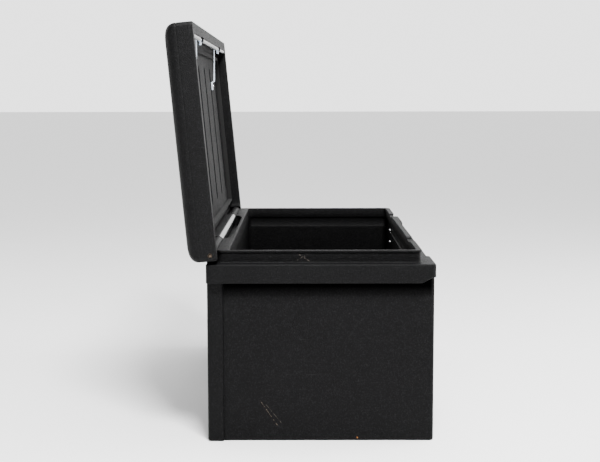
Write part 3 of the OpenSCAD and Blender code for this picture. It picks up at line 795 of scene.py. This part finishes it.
rod_line = [(-ROD_HALF, ROD_R - 0.55), *[(x, ROD_R) for x in (0.6 - ROD_HALF, -300, 0, 300, ROD_HALF - 0.6)],
            (ROD_HALF, ROD_R - 0.55)]
rod = lathe("steel_hinge_rod", rod_line, HINGE, (1, 0, 0), FINISH["rod_steel"], "chest", sides=48)
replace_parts(rod, "hinge_rod")
for sign in (-1, 1):
    cap = rod_cap(sign)
    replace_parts(cap, "rod_caps")


# ---------------------------------------------------------------- latches

def latch_dish(side_name, x0):
    """The pressed dish as a depth over its front plane: a flat flange, then a rounded-rectangle pan whose wall
    falls away along a smooth step. A second grid one sheet thickness behind closes it."""
    face = node_box(f"{side_name}_latch_dish")[0][1]
    back, mid_z = -230.0, 333.0
    ring = np.array([0, 0.4, 0.8, 1.3, 2, 3, 4.5, 6, 8])
    xs = np.unique(np.concatenate([np.linspace(-56, 56, 30), -45.2 + ring, 45.2 - ring]))
    zs = np.unique(np.concatenate([np.linspace(292, 372, 30), 301.8 + ring, 364.2 - ring]))
    x, z = np.meshgrid(xs, zs, indexing="ij")
    out = np.hypot(np.maximum(np.abs(x) - 38, 0), np.maximum(np.abs(z - mid_z) - 24, 0)) - 7
    depth = (back - 1.6 - face) * smooth((0.2 - out) / 2.6)
    lip = 0.5 * smooth((np.maximum(np.abs(x) - 53.5, np.abs(z - 332) - 37.5)) / 2.5)
    top = np.stack([x + x0, face + depth + lip, z], -1)
    under = np.stack([x + x0, face + depth + 1.5, z], -1)
    dish = sheet_slab(f"{side_name}_pressed_dish", top, under, FINISH["black_steel"], "chest")
    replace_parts(dish, f"{side_name}_latch_dish")


def paddle(side_name, x0):
    """The paddle plate as a closed sheet over X and Z, gently crowned and with its free edge rolled forward. Two
    hubs turn on the pin, and a lever stands up from it."""
    front = node_box(f"{side_name}_paddle")[0][1]
    xs = np.linspace(-PADDLE_HALF, PADDLE_HALF, 34)
    xs = np.unique(np.concatenate([xs, [-40.6, -39.8, -38, 38, 39.8, 40.6]]))
    zs = np.unique(np.concatenate([np.linspace(PADDLE_LOW, PIN_HEIGHT, 26), [305.5, 306.3, 307.5]]))
    x, z = np.meshgrid(xs, zs, indexing="ij")
    crown = 0.9 * (1 - (x / PADDLE_HALF) ** 4) * smooth((z - PADDLE_LOW) / 12)
    roll = 0.8 * smooth((PADDLE_LOW + 9 - z) / 9)
    corner = np.hypot(np.maximum(np.abs(x) - PADDLE_HALF + 5, 0), np.maximum(PADDLE_LOW + 6 - z, 0)) / 7
    tuck = 0.72 * smooth(corner * 1.4 - 0.5)
    sunk_edge = 0.8 * smooth((np.abs(x) - PADDLE_HALF + 1.6) / 1.6) + 0.8 * smooth(PADDLE_LOW + 1 - z)
    face = np.maximum(front + 1.3 - crown + sunk_edge + tuck - roll, front + 0.02)
    top = np.stack([x + x0, face, z], -1)
    under = np.stack([x + x0, np.full_like(x, front + 3.2), z], -1)
    dark, body = FINISH["black_steel"], f"{side_name}_handle"
    plate = sheet_slab(f"{side_name}_paddle_plate", top, under, dark, body)
    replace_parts(plate, f"{side_name}_paddle")
    for tag, start, end in (("outer", -40, 13.2), ("inner", 26.8, 40)):
        lathe(f"{side_name}_paddle_hub_{tag}", [(start, 3.4), (start + 0.6, 4.2), (end - 0.6, 4.2), (end, 3.4)],
              (x0, PIN_DEPTH, PIN_HEIGHT), (1, 0, 0), dark, body)
    rounded_box(f"{side_name}_paddle_lever", (x0 - 6, PIN_DEPTH - 2, PIN_HEIGHT - 2),
                (x0 + 6, PIN_DEPTH + 2, PIN_HEIGHT + 17), 0.8, dark, body)


def paddle_spring(side_name, x0):
    """A torsion spring without its legs: seven turns of a helix about the paddle's pin."""
    turn = np.linspace(0, 2 * math.pi * 7, 7 * 22)
    x = x0 + 15.2 + 9.4 * turn / turn[-1]
    coil = np.column_stack([x, PIN_DEPTH + 3.2 * np.cos(turn), PIN_HEIGHT + 3.2 * np.sin(turn)])
    wire = tube_along(f"{side_name}_coil_spring", coil, 0.68, FINISH["spring_steel"], "chest")
    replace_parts(wire, f"{side_name}_paddle_spring")


def lock(side_name, x0):
    """The rimmed barrel of the key lock. The plug and the cam are dressed copies."""
    profile = [(0.3, 8.4), (0, 8.8), (0.3, 9.3), (0.8, 9.5), (1.4, 9.5), (1.5, 8), (12.5, 8), (12.5, 6.1),
               (1.0, 6.1), (0.35, 6.6)]
    barrel = lathe(f"{side_name}_lock_body", profile, (x0, -251, 326), (0, 1, 0), FINISH["lock_chrome"],
                   f"{side_name}_handle", caps=False)
    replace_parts(barrel, f"{side_name}_lock_barrel")


def dome_bolts(side_name, x0):
    """Two dome-headed bolts with washers on the inside of the front wall, and their plain ends in the frame."""
    profile = [(0, 2.8), (0.4, 3), (9.6, 3), (9.6, 6.6), (9.8, 7), (10.5, 7), (10.7, 6.7), (10.7, 5.4),
               (11.2, 5.4), (12.6, 4.9), (13.6, 3.9), (14.2, 2.5), (14.5, 1.0)]
    made = [lathe(f"{side_name}_bolt_{i}", profile, (x0 + 16, -226.5, z), (0, 1, 0), FINISH["bright_bolt"],
                  "chest") for i, z in enumerate((351, 385))]
    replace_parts(made[0], f"{side_name}_latch_bolts")


def dish_screws(side_name, x0):
    """Four pan-head screws with a plain domed head and a sunk round socket."""
    profile = [(1.0, 1.1), (0.15, 1.3), (0, 1.6), (0.25, 2.6), (0.8, 3.2), (1.5, 3.4), (1.5, 1.95), (13, 1.9),
               (13.2, 1.5)]
    front = node_box(f"{side_name}_dish_screws")[0][1]
    corners = [(-51, 297), (51, 297), (-51, 367), (51, 367)]
    made = [lathe(f"{side_name}_dish_screw_{i}", profile, (x0 + dx, front, z), (0, 1, 0), FINISH["zinc_steel"],
                  "chest", sides=24) for i, (dx, z) in enumerate(corners)]
    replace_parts(made[0], f"{side_name}_dish_screws")


# CAD node, name of its dressed copy, slot and width of the broken edges
DRESSED = [
    ("lock_plug", "key_plug", "lock_brass", 0.25),
    ("lock_cam", "cam_plate", "zinc_steel", 0.3),
    ("paddle_pin", "paddle_pivot", "zinc_steel", 0.3),
    ("latch_frame", "folded_frame", "zinc_steel", 0.5),
    ("hook", "hook_plate", "zinc_steel", 0.45),
    ("hook_pin", "hook_pivot", "zinc_steel", 0.4),
    ("pawl", "pawl_plate", "zinc_steel", 0.4),
    ("pawl_pin", "pawl_pivot", "zinc_steel", 0.3),
    ("striker", "striker_strap", "striker_zinc", 0.4),
    ("striker_screws", "strap_screws", "bright_bolt", 0.6),
]

for sign, side_name in SIDE.items():
    x0 = sign * LATCH_X
    latch_dish(side_name, x0)
    paddle(side_name, x0)
    paddle_spring(side_name, x0)
    lock(side_name, x0)
    dome_bolts(side_name, x0)
    dish_screws(side_name, x0)
    for node, name, slot, edge in DRESSED:
        dressed(f"{side_name}_{node}", f"{side_name}_{name}", slot, edge)


# ---------------------------------------------------------------- camera, light and floor

CAMERA_SPOT = (-3.236, 0.0413, 0.775)
CAMERA_PITCH = 6.27
CAMERA_YAW = 0.094
CAMERA_ROLL = 0.1
FOCAL_MM = 73.5
ROOM_DIM, ROOM_BRIGHT, ROOM_SEEN = 0.04, 2.4, 2.7


def make_camera():
    """A camera off the left end, pitched down a little, so that upright lines close downwards."""
    data = bpy.data.cameras.new("camera")
    data.lens = FOCAL_MM
    data.sensor_width = 36
    data.clip_end = 100
    camera = bpy.data.objects.new("camera", data)
    camera.location = CAMERA_SPOT
    level = Euler((math.radians(90 - CAMERA_PITCH), 0, math.radians(CAMERA_YAW - 90))).to_quaternion()
    camera.rotation_mode = "QUATERNION"
    camera.rotation_quaternion = level @ Quaternion((0, 0, 1), math.radians(-CAMERA_ROLL))
    bpy.context.collection.objects.link(camera)
    bpy.context.scene.camera = camera


def area_light(name, spot, target, size, watts):
    """A square soft box at spot that faces target."""
    data = bpy.data.lights.new(name, "AREA")
    data.size = size
    data.energy = watts
    lamp = bpy.data.objects.new(name, data)
    lamp.location = spot
    way = np.array(target) - np.array(spot)
    yaw = math.atan2(way[1], way[0])
    tilt = math.atan2(math.hypot(way[0], way[1]), -way[2])
    lamp.rotation_euler = (tilt, 0, yaw - math.pi / 2)
    bpy.context.collection.objects.link(lamp)


def make_stage():
    """A pale floor under the chest, a wide soft sun from above, and a white room. The room grows brighter from the
    left end to the right, and is evenly bright where the camera sees it directly."""
    bpy.ops.mesh.primitive_plane_add(size=120, location=(0, 0, -0.0005))
    floor = bpy.context.object
    floor.name = "floor"
    mat = bpy.data.materials.new("floor_white")
    mat.use_nodes = True
    shader = mat.node_tree.nodes["Principled BSDF"]
    shader.inputs["Base Color"].default_value = (0.95, 0.95, 0.95, 1)
    shader.inputs["Roughness"].default_value = 0.9
    shader.inputs["Specular IOR Level"].default_value = 0.1
    floor.data.materials.append(mat)

    world = bpy.data.worlds.new("studio")
    world.use_nodes = True
    tree = world.node_tree
    back = tree.nodes["Background"]
    back.inputs["Color"].default_value = (1, 1, 1, 1)
    way = tree.nodes.new("ShaderNodeTexCoord")
    split = tree.nodes.new("ShaderNodeSeparateXYZ")
    ramp = tree.nodes.new("ShaderNodeMapRange")
    ramp.inputs["To Min"].default_value = ROOM_DIM
    ramp.inputs["To Max"].default_value = ROOM_BRIGHT
    path = tree.nodes.new("ShaderNodeLightPath")
    pick = tree.nodes.new("ShaderNodeMix")
    pick.inputs[3].default_value = ROOM_SEEN
    tree.links.new(way.outputs["Generated"], split.inputs[0])
    tree.links.new(split.outputs[0], ramp.inputs["Value"])
    tree.links.new(path.outputs["Is Camera Ray"], pick.inputs[0])
    tree.links.new(ramp.outputs[0], pick.inputs[2])
    tree.links.new(pick.outputs[0], back.inputs["Strength"])
    bpy.context.scene.world = world

    sun = bpy.data.lights.new("overhead", "SUN")
    sun.energy = 3.1
    sun.angle = math.radians(55)
    lamp = bpy.data.objects.new("overhead", sun)
    lamp.rotation_euler = (math.radians(9), 0, 0)
    bpy.context.collection.objects.link(lamp)


make_camera()
make_stage()
area_light("front_box", (0.6, -3.2, 1.5), (0.2, 0, 0.5), 1.8, 130)
area_light("end_top", (-2.0, -0.3, 2.9), (-0.6, 0, 0.3), 0.7, 300)
area_light("rear_rim", (1.6, 2.8, 1.6), (0.2, 0, 0.4), 1.6, 18)
